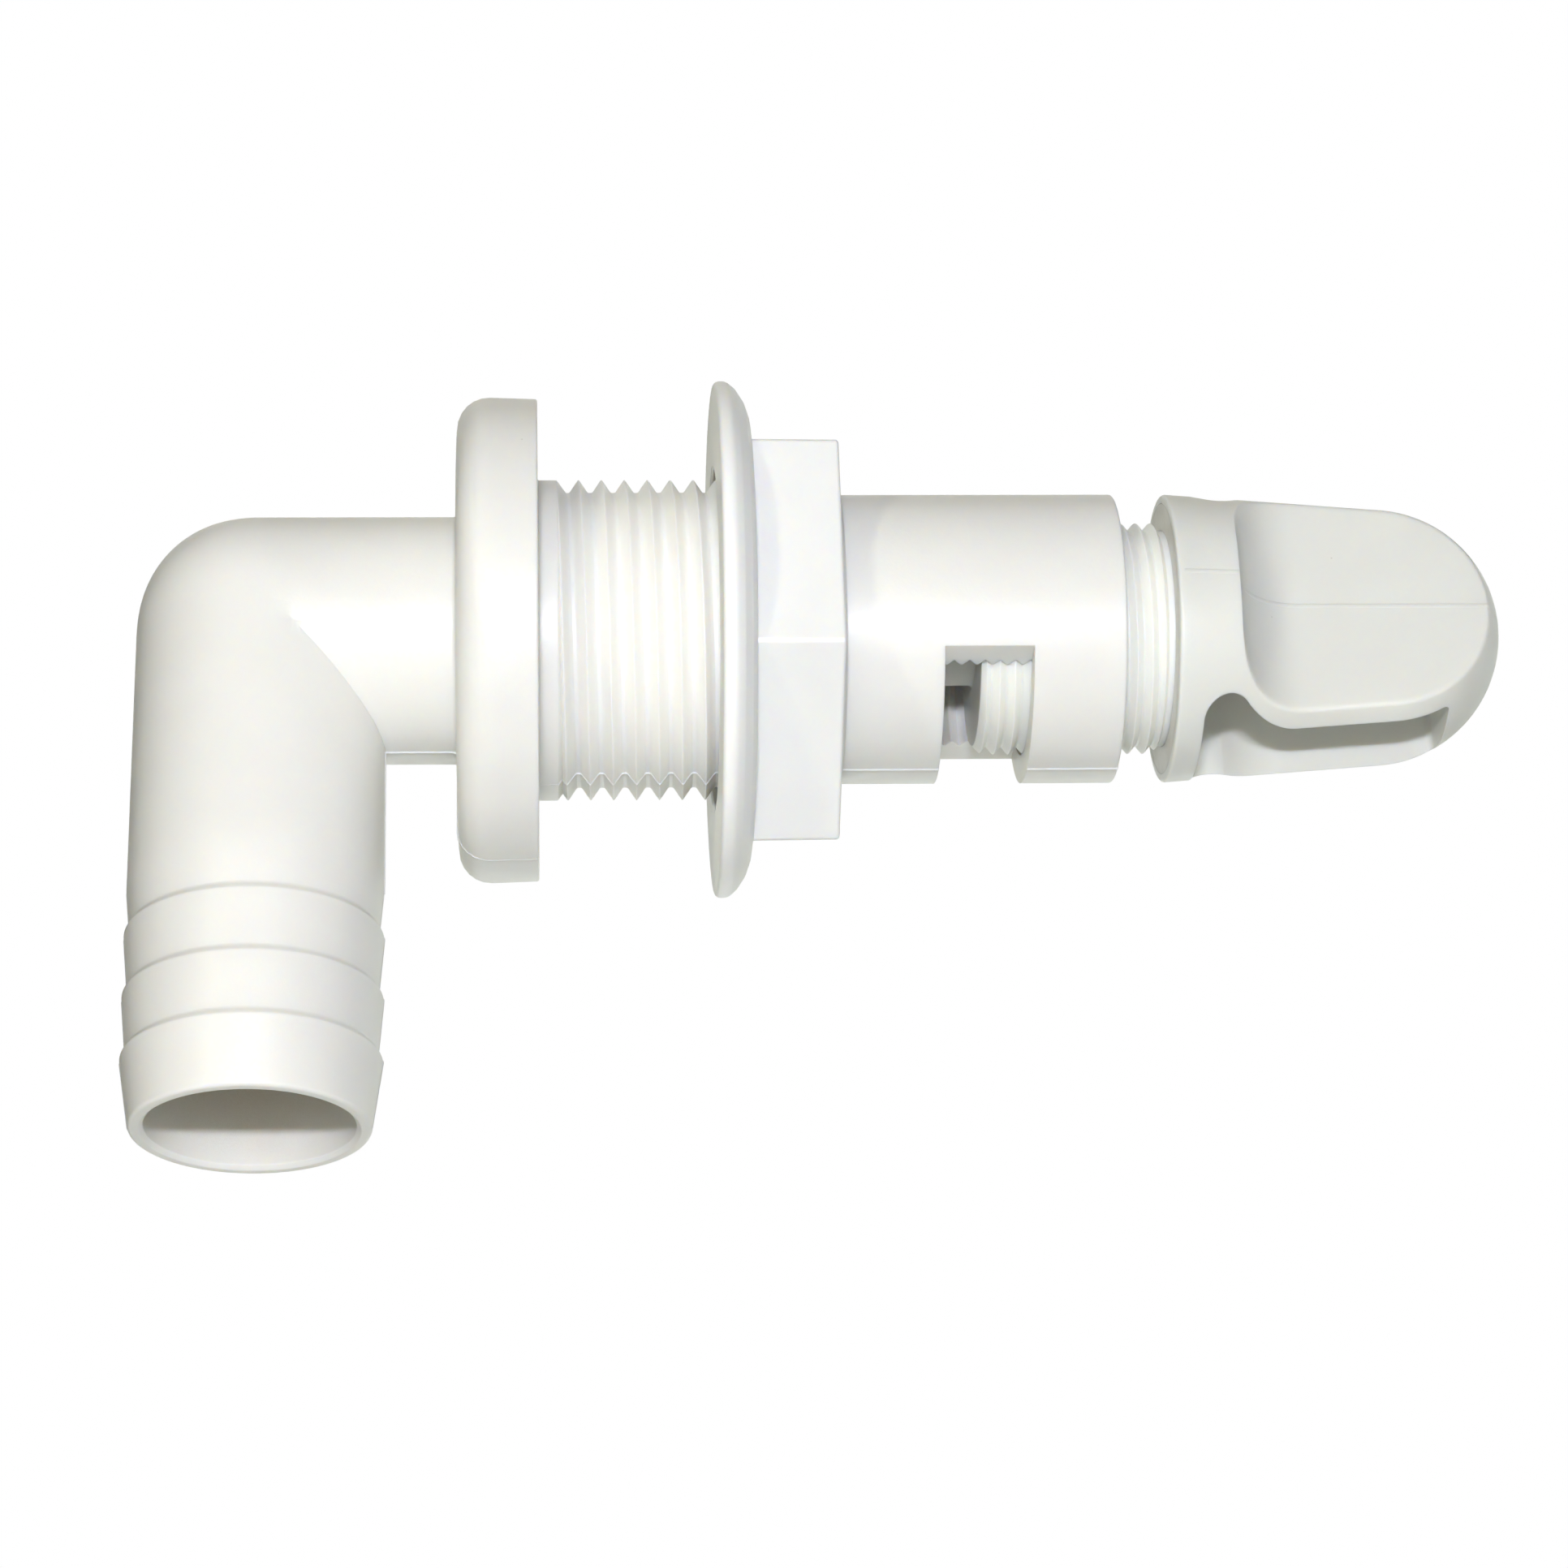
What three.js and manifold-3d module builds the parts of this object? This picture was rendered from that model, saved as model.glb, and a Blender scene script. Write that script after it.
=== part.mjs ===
// Adjustable thru hull fitting with a barbed hose elbow, a flanged nut and a screw valve knob.
// Millimetres, +Z up. The origin is on the thread axis, at the hull flange's clamping face.
// +X runs from the hose side to the knob, and the hose leg points down along -Z.

import * as THREE from 'three';
import { mergeVertices } from 'three/addons/utils/BufferGeometryUtils.js';
import Module from 'manifold-3d';

const wasm = await Module();
wasm.setup();

// Facets round a full turn. Threads and turned shapes share them, so their corners line up.
const FACETS = 32;
const ARC_STEPS = 4;
const BEND_STEPS = FACETS / 4;

// Cutting shapes run this far past the faces they cut.
const OVERRUN = 2.0;

// Clearance between each pair of mating threads, and round each loose ring.
const THREAD_CLEARANCE = 0.25;
const RING_GAP = 0.3;
const RING_PLAY = 0.2;

// Hose elbow: a leg and a horizontal tube of one radius, meeting at a mitre with a round outer corner.
const LEG_X = -21.85;
const TUBE_RADIUS = 9.8;
const BORE_RADIUS = 8.0;
const LEG_LENGTH = 41.5;
const TAPER_START = 22.0;
const BARB_TIPS = [25.8, 30.9, 36.0];
const BARB_TIP_RADIUS = 10.0;
const BARB_ROOT_RADIUS = 9.5;
const BARB_RISE = 0.35;
const MOUTH_RADIUS = 9.15;
const LIP_ROUND = 0.35;

// Hull flange
const FLANGE_THICKNESS = 6.3;
const FLANGE_RADIUS = 19.3;
const FLANGE_FACE_RADIUS = 19.1;
const FLANGE_ROUND = 2.5;

// Hull thread, one inch with 14 threads an inch, between a plain shoulder and the spray head.
const HULL_THREAD = { pitch: 25.4 / 14, major: 12.7, minor: 11.7, rootFlat: 0.36, crestX: 2.637 };
const SHOULDER_LENGTH = 1.5;
const HULL_THREAD_END = 23.8;

// Spray head, with a flat window cut across its underside and a thread inside for the knob.
const HEAD_RADIUS = 11.5;
const HEAD_END = 45.6;
const WINDOW_START = 31.4;
const WINDOW_END = 38.35;
const WINDOW_DEPTH_Z = -5.75;
const SEAT_X = 29.5;
const MOUTH_CHAMFER = 0.4;

// Flanged nut
const NUT_FACE_X = 13.9;
const NUT_FLANGE_RADIUS = 20.5;
const NUT_EDGE_CHAMFER = 0.4;
// The flange's domed back, as [distance behind the face, radius] from its edge to the hexagon.
const NUT_DOME = [[1.0, 20.5], [1.7, 19.9], [2.3, 19.0], [2.7, 17.9]];
const NUT_RECESS_RADIUS = 13.66;
const NUT_RECESS_DEPTH = 2.3;
const HEX_ACROSS_FLATS = 31.2;
const HEX_START = 16.65;
const HEX_END = 23.35;
const HEX_CORNER_ANGLE = 207.7;

// Nut seal ring, in the nut's recess
const NUT_RING_SET_BACK = 0.6;
const NUT_RING_LENGTH = 1.2;

// Valve knob: a solid threaded barrel with a plug on its end, a collar and a flat blade to turn it by.
const VALVE_THREAD = { pitch: 1.2, major: 9.2, minor: 8.6, rootFlat: 0, crestX: 47.178 };
const BARREL_START = 34.5;
const BARREL_CHAMFER = 1.0;
const PLUG_START = 29.0;
const PLUG_RADIUS = 3.7;
const PLUG_CHAMFER = 0.6;
const NECK_START = 48.7;
const COLLAR_FACE_X = 49.7;
const COLLAR_RADIUS = 11.5;
const NOSE_CENTRE_X = 66.5;
const NOSE_RADIUS = 10.25;
const NOSE_START_DEGREES = 85.5;
const BLADE_HALF_THICKNESS = 5.5;
const SCOOP_START = 54.1;
const SCOOP_RADIUS = 5.5;
const POCKET_START = 51.8;
const POCKET_END = 71.7;
const POCKET_WALL = 1.8;
const POCKET_WEB = 2.0;
const POCKET_HEEL_RADIUS = 1.9;
const POCKET_HEEL_Y = 5.4;
const POCKET_BEND_LENGTH = 2.2;

// Knob seal ring, in a groove in the collar's face
const GROOVE_RADIUS = 10.8;
const GROOVE_DEPTH = 1.2;

const WHITE = { color: 0xebebe6, roughness: 0.42, metalness: 0 };
const BLACK_RUBBER = { color: 0x1d1d1f, roughness: 0.75, metalness: 0 };
const CLEAR_SILICONE = { color: 0xd6d5cd, roughness: 0.5, metalness: 0 };

// Points on an arc, from one angle to another in degrees, as [along the axis, out from the axis].
function arc(centreX, centreR, radius, fromDegrees, toDegrees, steps) {
  const points = [];
  for (let step = 0; step <= steps; step += 1) {
    const angle = THREE.MathUtils.degToRad(fromDegrees + ((toDegrees - fromDegrees) * step) / steps);
    points.push([centreX + radius * Math.cos(angle), centreR + radius * Math.sin(angle)]);
  }
  return points;
}

// A closed solid from a geometry: shared corners merged, and triangles with no area dropped.
function solidFrom(geometry) {
  const bare = geometry.clone();
  bare.deleteAttribute('normal');
  bare.deleteAttribute('uv');
  const merged = mergeVertices(bare, 1e-4);
  const kept = [];
  for (let i = 0; i < merged.index.count; i += 3) {
    const [a, b, c] = [0, 1, 2].map((corner) => merged.index.getX(i + corner));
    if (a !== b && b !== c && c !== a) {
      kept.push(a, b, c);
    }
  }
  const vertProperties = new Float32Array(merged.attributes.position.array);
  return new wasm.Manifold(new wasm.Mesh({ numProp: 3, vertProperties, triVerts: new Uint32Array(kept) }));
}

// A solid turned about X, from an outline of [x, radius] points that starts and ends on the axis.
function turnedGeometry(outline) {
  const points = outline.map(([x, radius]) => new THREE.Vector2(radius, x));
  return new THREE.LatheGeometry(points, FACETS).rotateZ(-Math.PI / 2);
}

function turned(outline) {
  return solidFrom(turnedGeometry(outline));
}

function cylinder(fromX, toX, radius) {
  return turned([[fromX, 0], [fromX, radius], [toX, radius], [toX, 0]]);
}

function tube(fromX, toX, innerRadius, outerRadius) {
  return turned([
    [fromX, innerRadius],
    [fromX, outerRadius],
    [toX, outerRadius],
    [toX, innerRadius],
    [fromX, innerRadius],
  ]);
}

function box(low, high) {
  const size = high.map((value, i) => value - low[i]);
  const middle = high.map((value, i) => (value + low[i]) / 2);
  return solidFrom(new THREE.BoxGeometry(...size).translate(...middle));
}

// A threaded rod about X with a right-hand thread, made of helical lines that share their corners.
// Its ends are ragged by up to a pitch, so it covers more than the stretch asked for.
function threadedRod(thread, fromX, toX, grow = 0) {
  const { pitch, major, minor, rootFlat, crestX } = thread;
  const flatShare = rootFlat / pitch / 2;
  const rootLines = rootFlat > 0 ? [0.5 - flatShare, 0.5 + flatShare] : [0.5];
  const lines = [{ share: 0, radius: major + grow }];
  rootLines.forEach((share) => lines.push({ share, radius: minor + grow }));

  const firstTurn = Math.floor((fromX - crestX) / pitch) - 1;
  const turns = Math.ceil((toX - fromX) / pitch) + 2;
  const steps = turns * FACETS;
  const startX = crestX + firstTurn * pitch;
  const corners = [];
  const addCorner = (x, radius, step) => {
    const angle = (2 * Math.PI * step) / FACETS;
    corners.push(x, radius * Math.cos(angle), radius * Math.sin(angle));
    return corners.length / 3 - 1;
  };
  const lineCorners = lines.map(({ share, radius }, line) => {
    const count = line === 0 ? steps + FACETS : steps;
    const indices = [];
    for (let step = 0; step <= count; step += 1) {
      indices.push(addCorner(startX + pitch * (share + step / FACETS), radius, step));
    }
    return indices;
  });
  lineCorners.push(lineCorners[0].slice(FACETS));

  const faces = [];
  for (let line = 0; line < lines.length; line += 1) {
    const low = lineCorners[line];
    const high = lineCorners[line + 1];
    for (let step = 0; step < steps; step += 1) {
      faces.push(low[step], low[step + 1], high[step + 1]);
      faces.push(low[step], high[step + 1], high[step]);
    }
  }
  const startTip = addCorner(startX + pitch / 2, 0, 0);
  const endTip = addCorner(startX + pitch * (turns + 0.5), 0, 0);
  const crest = lineCorners[0];
  for (let step = 0; step < FACETS; step += 1) {
    faces.push(startTip, crest[step + 1], crest[step]);
    faces.push(endTip, crest[steps + step], crest[steps + step + 1]);
  }
  for (let line = 0; line < lines.length; line += 1) {
    faces.push(startTip, lineCorners[line][0], lineCorners[line + 1][0]);
    faces.push(endTip, lineCorners[line + 1][steps], lineCorners[line][steps]);
  }
  const geometry = new THREE.BufferGeometry();
  geometry.setAttribute('position', new THREE.Float32BufferAttribute(corners, 3));
  geometry.setIndex(faces);
  return solidFrom(geometry);
}

// The leg with its barbs, turned about X from the mitre and then swung down to -Z.
function hoseLeg() {
  const outline = [[0, 0], [0, TUBE_RADIUS], [TAPER_START, TUBE_RADIUS]];
  BARB_TIPS.forEach((tip) => {
    outline.push([tip - BARB_RISE, BARB_ROOT_RADIUS], [tip, BARB_TIP_RADIUS]);
  });
  outline.push([LEG_LENGTH - LIP_ROUND, MOUTH_RADIUS]);
  outline.push([LEG_LENGTH, MOUTH_RADIUS - LIP_ROUND]);
  outline.push([LEG_LENGTH, 0]);
  return solidFrom(turnedGeometry(outline).rotateY(Math.PI / 2).translate(LEG_X, 0, 0));
}

// A round-cornered elbow: a horizontal run with a domed end over the leg's axis.
function elbowRun(radius, toX) {
  const dome = arc(LEG_X, 0, radius, 180, 90, BEND_STEPS);
  dome[0][1] = 0;
  return turned([...dome, [toX, radius], [toX, 0]]);
}

function hullFlange() {
  const outerEdge = -FLANGE_THICKNESS + FLANGE_ROUND;
  const corner = arc(outerEdge, FLANGE_RADIUS - FLANGE_ROUND, FLANGE_ROUND, 180, 90, ARC_STEPS);
  return turned([[-FLANGE_THICKNESS, 0], ...corner, [0, FLANGE_FACE_RADIUS], [0, 0]]);
}

function fittingBody() {
  const threaded = threadedRod(HULL_THREAD, 0, HULL_THREAD_END).intersect(
    cylinder(SHOULDER_LENGTH / 2, HULL_THREAD_END, HULL_THREAD.major + OVERRUN),
  );
  const outside = elbowRun(TUBE_RADIUS, -FLANGE_THICKNESS / 2)
    .add(hoseLeg())
    .add(hullFlange())
    .add(cylinder(-FLANGE_THICKNESS / 2, SHOULDER_LENGTH, HULL_THREAD.major))
    .add(threaded)
    .add(cylinder(SHOULDER_LENGTH, HEAD_END, HEAD_RADIUS));

  const legBoreEnd = LEG_LENGTH + OVERRUN;
  const legBore = solidFrom(
    turnedGeometry([[0, 0], [0, BORE_RADIUS], [legBoreEnd, BORE_RADIUS], [legBoreEnd, 0]])
      .rotateY(Math.PI / 2)
      .translate(LEG_X, 0, 0),
  );
  const valveBore = threadedRod(VALVE_THREAD, SEAT_X, HEAD_END, THREAD_CLEARANCE).intersect(
    cylinder(SEAT_X, HEAD_END + OVERRUN, VALVE_THREAD.major + OVERRUN),
  );
  const mouthRadius = VALVE_THREAD.major + THREAD_CLEARANCE;
  const mouthCone = turned([
    [HEAD_END - MOUTH_CHAMFER - mouthRadius, 0],
    [HEAD_END + OVERRUN, mouthRadius + MOUTH_CHAMFER + OVERRUN],
    [HEAD_END + OVERRUN, 0],
  ]);
  const window = box(
    [WINDOW_START, -HEAD_RADIUS - OVERRUN, -HEAD_RADIUS - OVERRUN],
    [WINDOW_END, HEAD_RADIUS + OVERRUN, WINDOW_DEPTH_Z],
  );
  return outside
    .subtract(elbowRun(BORE_RADIUS, SEAT_X + VALVE_THREAD.pitch))
    .subtract(legBore)
    .subtract(valveBore)
    .subtract(mouthCone)
    .subtract(window);
}

function hexPrism() {
  const cornerRadius = HEX_ACROSS_FLATS / 2 / Math.cos(Math.PI / 6);
  const outline = new THREE.Shape();
  for (let corner = 0; corner < 6; corner += 1) {
    const angle = THREE.MathUtils.degToRad(HEX_CORNER_ANGLE + 60 * corner);
    const point = [cornerRadius * Math.cos(angle), cornerRadius * Math.sin(angle)];
    if (corner === 0) {
      outline.moveTo(...point);
    } else {
      outline.lineTo(...point);
    }
  }
  outline.closePath();
  const depth = HEX_END - HEX_START + OVERRUN;
  const prism = new THREE.ExtrudeGeometry(outline, { depth, bevelEnabled: false });
  // The outline's plane turns to YZ and its extrusion to +X.
  const toX = new THREE.Matrix4().makeBasis(
    new THREE.Vector3(0, 1, 0),
    new THREE.Vector3(0, 0, 1),
    new THREE.Vector3(1, 0, 0),
  );
  return solidFrom(prism.applyMatrix4(toX).translate(HEX_START - OVERRUN, 0, 0));
}

function flangedNut() {
  const flange = turned([
    [NUT_FACE_X, 0],
    [NUT_FACE_X, NUT_FLANGE_RADIUS - NUT_EDGE_CHAMFER],
    [NUT_FACE_X + NUT_EDGE_CHAMFER, NUT_FLANGE_RADIUS],
    ...NUT_DOME.map(([behind, radius]) => [NUT_FACE_X + behind, radius]),
    [HEX_START, HEX_ACROSS_FLATS / 2],
    [HEX_START, 0],
  ]);
  const recess = cylinder(NUT_FACE_X - OVERRUN, NUT_FACE_X + NUT_RECESS_DEPTH, NUT_RECESS_RADIUS);
  return flange
    .add(hexPrism())
    .subtract(threadedRod(HULL_THREAD, NUT_FACE_X - OVERRUN, HEX_END + OVERRUN, THREAD_CLEARANCE))
    .subtract(recess);
}

function nutSealRing() {
  const start = NUT_FACE_X + NUT_RING_SET_BACK;
  const inner = HULL_THREAD.major + RING_PLAY;
  return tube(start, start + NUT_RING_LENGTH, inner, NUT_RECESS_RADIUS - RING_PLAY);
}

// The knob's outside: a collar, then a slight cone that runs into a ball nose.
function knobEnvelope() {
  const nose = arc(NOSE_CENTRE_X, 0, NOSE_RADIUS, NOSE_START_DEGREES, 0, BEND_STEPS);
  nose[BEND_STEPS][1] = 0;
  return turned([[COLLAR_FACE_X, 0], [COLLAR_FACE_X, COLLAR_RADIUS], ...nose]);
}

// A prism of an outline in the XY plane, from one height to another.
function prismAlongZ(outline, fromZ, toZ) {
  const settings = { depth: toZ - fromZ, bevelEnabled: false, curveSegments: BEND_STEPS };
  return solidFrom(new THREE.ExtrudeGeometry(outline, settings).translate(0, 0, fromZ));
}

// What is cut away beside the blade. The cut starts at a concave round against the collar.
function bladeScoop(side) {
  const far = COLLAR_RADIUS + OVERRUN;
  const noseEnd = NOSE_CENTRE_X + NOSE_RADIUS + OVERRUN;
  const roundX = SCOOP_START + SCOOP_RADIUS;
  const roundY = BLADE_HALF_THICKNESS + SCOOP_RADIUS;
  const outline = new THREE.Shape();
  outline.moveTo(SCOOP_START, far);
  outline.lineTo(SCOOP_START, roundY);
  outline.absarc(roundX, roundY, SCOOP_RADIUS, Math.PI, Math.PI * 1.5, false);
  outline.lineTo(noseEnd, BLADE_HALF_THICKNESS);
  outline.lineTo(noseEnd, far);
  outline.closePath();
  const reach = COLLAR_RADIUS + OVERRUN;
  const scoop = prismAlongZ(outline, -reach, reach);
  return side > 0 ? scoop : scoop.rotate([180, 0, 0]);
}

// The hollow in the blade, open on one narrow side. It widens at its heel, inside the collar.
function bladePocket(side) {
  const half = BLADE_HALF_THICKNESS - POCKET_WALL;
  const heelX = POCKET_START + POCKET_HEEL_RADIUS;
  const slopeEnd = SCOOP_START + SCOOP_RADIUS;
  const outline = new THREE.Shape();
  outline.moveTo(POCKET_START, -POCKET_HEEL_Y);
  outline.absarc(heelX, -POCKET_HEEL_Y, POCKET_HEEL_RADIUS, Math.PI, Math.PI * 1.75, false);
  outline.quadraticCurveTo(slopeEnd - POCKET_BEND_LENGTH, -half, slopeEnd, -half);
  outline.lineTo(POCKET_END, -half);
  outline.lineTo(POCKET_END, half);
  outline.lineTo(slopeEnd, half);
  outline.quadraticCurveTo(
    slopeEnd - POCKET_BEND_LENGTH,
    half,
    heelX + POCKET_HEEL_RADIUS * Math.SQRT1_2,
    POCKET_HEEL_Y + POCKET_HEEL_RADIUS * Math.SQRT1_2,
  );
  outline.absarc(heelX, POCKET_HEEL_Y, POCKET_HEEL_RADIUS, Math.PI * 0.25, Math.PI, false);
  outline.closePath();
  const reach = COLLAR_RADIUS + OVERRUN;
  const pocket = prismAlongZ(outline, POCKET_WEB / 2, reach);
  return side > 0 ? pocket : pocket.rotate([180, 0, 0]);
}

function valveKnob() {
  const chamferTop = VALVE_THREAD.minor + BARREL_CHAMFER;
  const barrelThread = threadedRod(VALVE_THREAD, BARREL_START, NECK_START).intersect(
    turned([
      [BARREL_START, 0],
      [BARREL_START, VALVE_THREAD.minor],
      [BARREL_START + BARREL_CHAMFER, chamferTop],
      [NECK_START, chamferTop],
      [NECK_START, 0],
    ]),
  );
  const neckStart = BARREL_START + BARREL_CHAMFER;
  const neck = cylinder(neckStart, COLLAR_FACE_X + GROOVE_DEPTH, VALVE_THREAD.minor);
  const groove = cylinder(COLLAR_FACE_X - OVERRUN, COLLAR_FACE_X + GROOVE_DEPTH, GROOVE_RADIUS);
  const plug = turned([
    [PLUG_START, 0],
    [PLUG_START, PLUG_RADIUS - PLUG_CHAMFER],
    [PLUG_START + PLUG_CHAMFER, PLUG_RADIUS],
    [neckStart, PLUG_RADIUS],
    [neckStart, 0],
  ]);
  let knob = knobEnvelope().subtract(groove).add(neck).add(barrelThread).add(plug);
  [-1, 1].forEach((side) => {
    knob = knob.subtract(bladeScoop(side)).subtract(bladePocket(side));
  });
  return knob;
}

function knobSealRing() {
  const inner = VALVE_THREAD.major + RING_PLAY;
  return tube(COLLAR_FACE_X, COLLAR_FACE_X + GROOVE_DEPTH - RING_GAP, inner, GROOVE_RADIUS - RING_GAP);
}

function namedMesh(name, solid, look) {
  const { vertProperties, triVerts } = solid.getMesh();
  const geometry = new THREE.BufferGeometry();
  geometry.setAttribute('position', new THREE.BufferAttribute(vertProperties, 3));
  geometry.setIndex(new THREE.BufferAttribute(triVerts, 1));
  geometry.computeVertexNormals();
  const mesh = new THREE.Mesh(geometry, new THREE.MeshStandardMaterial(look));
  mesh.name = name;
  return mesh;
}

const fitting = new THREE.Group();
fitting.add(
  namedMesh('fitting_body', fittingBody(), WHITE),
  namedMesh('flanged_nut', flangedNut(), WHITE),
  namedMesh('nut_seal_ring', nutSealRing(), BLACK_RUBBER),
  namedMesh('valve_knob', valveKnob(), WHITE),
  namedMesh('knob_seal_ring', knobSealRing(), CLEAR_SILICONE),
);

export default fitting;
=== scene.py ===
"""The looks of the adjustable thru hull fitting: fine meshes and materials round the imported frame.

Shapes are worked out in millimetres in the row frame, and each finished mesh is scaled to metres.
"""

import math

import bmesh
import bpy
from mathutils import Matrix, Vector


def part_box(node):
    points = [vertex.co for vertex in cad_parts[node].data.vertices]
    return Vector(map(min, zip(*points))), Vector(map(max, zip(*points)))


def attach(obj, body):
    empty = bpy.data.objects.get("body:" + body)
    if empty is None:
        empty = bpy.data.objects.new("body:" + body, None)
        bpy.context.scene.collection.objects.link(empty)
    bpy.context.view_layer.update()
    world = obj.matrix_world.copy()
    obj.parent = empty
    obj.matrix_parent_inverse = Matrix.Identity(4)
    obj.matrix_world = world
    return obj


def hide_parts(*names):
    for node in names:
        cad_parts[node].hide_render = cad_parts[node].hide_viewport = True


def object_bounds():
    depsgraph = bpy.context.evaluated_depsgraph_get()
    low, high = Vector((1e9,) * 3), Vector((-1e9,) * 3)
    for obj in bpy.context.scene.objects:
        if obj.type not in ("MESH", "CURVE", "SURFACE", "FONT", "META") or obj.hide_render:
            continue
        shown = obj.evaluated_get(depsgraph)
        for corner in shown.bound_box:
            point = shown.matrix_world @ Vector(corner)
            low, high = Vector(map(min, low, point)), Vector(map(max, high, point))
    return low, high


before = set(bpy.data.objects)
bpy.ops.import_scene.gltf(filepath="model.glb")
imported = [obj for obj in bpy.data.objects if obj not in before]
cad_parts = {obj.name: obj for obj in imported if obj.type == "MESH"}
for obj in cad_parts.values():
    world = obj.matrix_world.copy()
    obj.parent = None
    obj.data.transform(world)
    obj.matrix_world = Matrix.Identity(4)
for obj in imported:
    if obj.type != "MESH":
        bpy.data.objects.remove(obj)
CAD_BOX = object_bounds()

MM = 0.001


def box_in_mm(node):
    """The lowest and highest corner of a CAD node, in millimetres."""
    low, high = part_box(node)
    return low / MM, high / MM


BODY_LOW, BODY_HIGH = box_in_mm("fitting_body")
NUT_LOW, NUT_HIGH = box_in_mm("flanged_nut")
KNOB_LOW, KNOB_HIGH = box_in_mm("valve_knob")
NUT_RING_LOW, NUT_RING_HIGH = box_in_mm("nut_seal_ring")
KNOB_RING_LOW, KNOB_RING_HIGH = box_in_mm("knob_seal_ring")

# Fineness: steps round a full turn, round the knob's grip, in a rounded edge, in a wide arc and along
# the blade, and the longest straight stretch without a ring
AROUND = 192
GRIP_AROUND = 480
ROUND_STEPS = 6
ARC_STEPS = 24
BLADE_STEPS = 10
LONGEST_STRETCH = 1.5

# Points closer than this are welded, and edges sharper than this stay sharp
WELD_DISTANCE = 0.002
SHARP_ANGLE = math.radians(28)

# How far a cutting shape runs past the face it cuts, how far inside a hole a ring's outline starts,
# and a length beyond the whole fitting
OVERRUN = 2.0
INSET = 1
FAR = 100.0

THREAD_CLEARANCE = 0.25

# The usual radius of a moulded edge
EDGE_ROUND = 0.2

# The least size of a value that something is divided by
TINY = 1e-6

# Hose elbow
BARB_TIPS = [25.8, 30.9, 36.0]
BARB_TIP_RADIUS = 10.0
BARB_ROOT_RADIUS = 9.55
BARB_RISE = 0.5
BARB_ROOT_ROUND = 0.5
BARB_TIP_ROUND = 0.3
LEG_X = BODY_LOW.x + BARB_TIP_RADIUS
LEG_LENGTH = -BODY_LOW.z
LEG_TAPER = 0.05
TUBE_RADIUS = 9.8
BORE_RADIUS = 8.0
TAPER_START = 22.0
MOUTH_RADIUS = 9.15
LIP_ROUND = 0.35

# How square the corner over a mitre is, where 2 is a ball
OUTER_CORNER_POWER = 2.2
BORE_CORNER_POWER = 2.0

# Hull flange and the plain shoulder beside it
FLANGE_THICKNESS = 6.3
FLANGE_RADIUS = 19.3
FLANGE_FACE_RADIUS = 19.1
FLANGE_ROUND = 2.5
FLANGE_FILLET = 0.4
SHOULDER_LENGTH = 1.5
SHOULDER_FILLET = 0.12
SHOULDER_ROUND = 0.1
SHOULDER_DROP_LENGTH = 0.9

# Threads: the pitch, the crest's radius, the depth to the flat root, the depth that the flanks
# would meet at, and where along X a crest passes +Y
HULL_THREAD = {"pitch": 25.4 / 14, "major": 12.7, "depth": 1.0, "full_depth": 1.22, "crest_x": 2.637}
VALVE_THREAD = {"pitch": 1.2, "major": 9.2, "depth": 0.6, "full_depth": 0.66, "crest_x": 47.178}
# Where a thread's lines lie, as shares of a pitch from the crest, and how sharp its crest is, up to 1
THREAD_SHARES = [0.0, 0.025, 0.06, 0.13, 0.25, 0.37, 0.43, 0.5, 0.57, 0.63, 0.75, 0.87, 0.94, 0.975]
BORE_THREAD_SHARES = THREAD_SHARES[::2]
CREST_SHARPNESS = 0.985
HULL_THREAD_END = 23.8

# Spray head
HEAD_RADIUS = 11.5
HEAD_END = BODY_HIGH.x
SEAT_X = 29.5
WINDOW_START = 31.4
WINDOW_END = 38.35
WINDOW_TOP_Z = -5.75
MOUTH_CHAMFER = 0.4

# The moulding's parting ridge, in the plane of the leg and the thread axis
RIDGE_WIDTH = 0.14
RIDGE_HEIGHT = 0.05
HIGH_RIDGE_HEIGHT = 0.11
KNOB_RIDGE_HEIGHT = 0.03
KNOB_RIDGE_SET_BACK = 0.5

# Flanged nut
NUT_FACE_X = NUT_LOW.x
NUT_END_X = NUT_HIGH.x
NUT_FLANGE_RADIUS = NUT_HIGH.z
NUT_RIM_ROUND = 0.45
# The flange's domed back, as (distance behind the face, drop below the rim, edge radius)
NUT_DOME = [(1.0, 0.0, 0.9), (1.7, 0.6, 0.9), (2.35, 1.6, 0.8), (2.7, 2.6, 0.2)]
NUT_RECESS_RADIUS = 13.66
NUT_RECESS_DEPTH = 2.3
NUT_RECESS_CHAMFER = 0.15
NUT_EXIT_RADIUS = 12.75
NUT_EXIT_REACH = 1.0
HEX_ACROSS_FLATS = 31.2
HEX_DRAFT = 0.12
HEX_CORNER_ANGLE = 207.7
HEX_CORNER_ROUND = 0.5
HEX_END_ROUND = 0.3
HEX_START = 16.65
HEX_FOOT_ROUND = 0.15
HEX_FOOT_LENGTH = 1.0
HEX_FOOT_DROP = 0.1

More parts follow.
